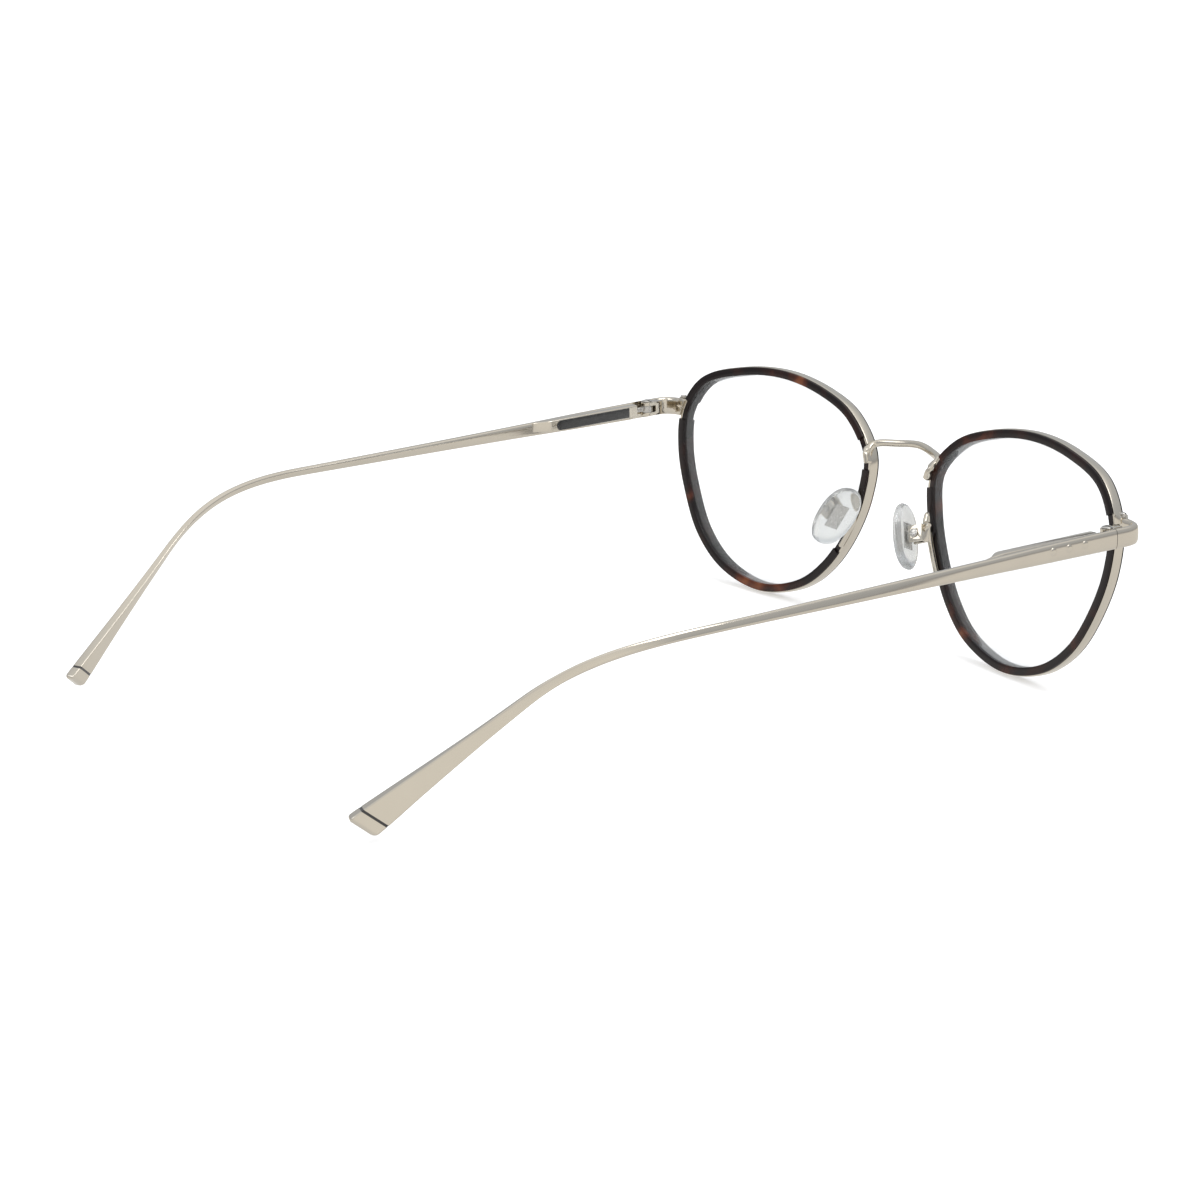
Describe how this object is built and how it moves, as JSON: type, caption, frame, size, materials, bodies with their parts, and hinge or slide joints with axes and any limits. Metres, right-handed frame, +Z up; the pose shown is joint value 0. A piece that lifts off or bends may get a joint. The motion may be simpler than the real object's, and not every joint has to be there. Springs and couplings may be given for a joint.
{
  "type": "eyeglasses",
  "caption": "Full-rim eyeglasses: metal eyewires seated in acetate rings, adjustable nose pads, and slim metal temples that fold on spring hinges.",
  "frame": {"origin": "under the middle of the open frame's bounding box, on the plane that its rims stand on", "axes": "+X to the wearer's left, +Y back along the temples, +Z up"},
  "size_m": [0.1324, 0.1518, 0.043],
  "materials": {
    "polished_nickel": "polished warm grey metal",
    "steel": "plain bright screws, stems and springs",
    "tortoise_acetate": "polished dark tortoise acetate",
    "black_enamel": "black enamel",
    "clear_silicone": "clear soft silicone",
    "demo_lens": "clear polished plastic"
  },
  "bodies": {
    "front": {"bridge": "polished_nickel", "windsor_ring_left": "tortoise_acetate", "eyewire_left": "polished_nickel", "demo_lens_left": "demo_lens", "closing_block_upper_left": "polished_nickel", "closing_block_lower_left": "polished_nickel", "rim_screw_left": "steel", "pad_arm_left": "polished_nickel", "pad_box_left": "polished_nickel", "pad_screw_left": "steel", "end_piece_left": "polished_nickel", "hinge_bracket_left": "polished_nickel", "hinge_screw_left": "steel", "windsor_ring_right": "tortoise_acetate", "eyewire_right": "polished_nickel", "demo_lens_right": "demo_lens", "closing_block_upper_right": "polished_nickel", "closing_block_lower_right": "polished_nickel", "rim_screw_right": "steel", "pad_arm_right": "polished_nickel", "pad_box_right": "polished_nickel", "pad_screw_right": "steel", "end_piece_right": "polished_nickel", "hinge_bracket_right": "polished_nickel", "hinge_screw_right": "steel"},
    "pad_left": {"pad_insert_left": "steel", "nose_pad_left": "clear_silicone"},
    "shuttle_left": {"shuttle_left": "steel", "hinge_spring_left": "steel"},
    "temple_left": {"temple_arm_left": "polished_nickel", "spring_housing_left": "polished_nickel", "inlay_plate_left": "black_enamel", "stud_1_left": "polished_nickel", "stud_2_left": "polished_nickel", "stud_3_left": "polished_nickel", "tip_spacer_left": "black_enamel", "tip_cap_left": "polished_nickel"},
    "pad_right": {"pad_insert_right": "steel", "nose_pad_right": "clear_silicone"},
    "shuttle_right": {"shuttle_right": "steel", "hinge_spring_right": "steel"},
    "temple_right": {"temple_arm_right": "polished_nickel", "spring_housing_right": "polished_nickel", "inlay_plate_right": "black_enamel", "stud_1_right": "polished_nickel", "stud_2_right": "polished_nickel", "stud_3_right": "polished_nickel", "tip_spacer_right": "black_enamel", "tip_cap_right": "polished_nickel"}
  },
  "joints": [
    {"name": "temple_fold_left", "type": "hinge", "parent": "front", "child": "shuttle_left", "pos_m": [0.06403, -0.06067, 0.03177], "axis": [0, 0.0314, 0.9995], "range_deg": [0, 83]},
    {"name": "spring_travel_left", "type": "slide", "parent": "shuttle_left", "child": "temple_left", "axis": [-0.0122, 0.9994, -0.0314], "range_m": [0, 0.001], "stiffness_N_per_m": 1500, "springref_m": -0.0005},
    {"name": "pad_rock_left", "type": "hinge", "parent": "front", "child": "pad_left", "pos_m": [0.01186, -0.06505, 0.02093], "axis": [-0.221, -0.8991, -0.3778], "range_deg": [-8, 8]},
    {"name": "temple_fold_right", "type": "hinge", "parent": "front", "child": "shuttle_right", "pos_m": [-0.06403, -0.06067, 0.03177], "axis": [0, -0.0314, -0.9995], "range_deg": [0, 68]},
    {"name": "spring_travel_right", "type": "slide", "parent": "shuttle_right", "child": "temple_right", "axis": [0.0122, 0.9994, -0.0314], "range_m": [0, 0.001], "stiffness_N_per_m": 1500, "springref_m": -0.0005},
    {"name": "pad_rock_right", "type": "hinge", "parent": "front", "child": "pad_right", "pos_m": [-0.01186, -0.06505, 0.02093], "axis": [0.221, -0.8991, -0.3778], "range_deg": [-8, 8]}
  ]
}
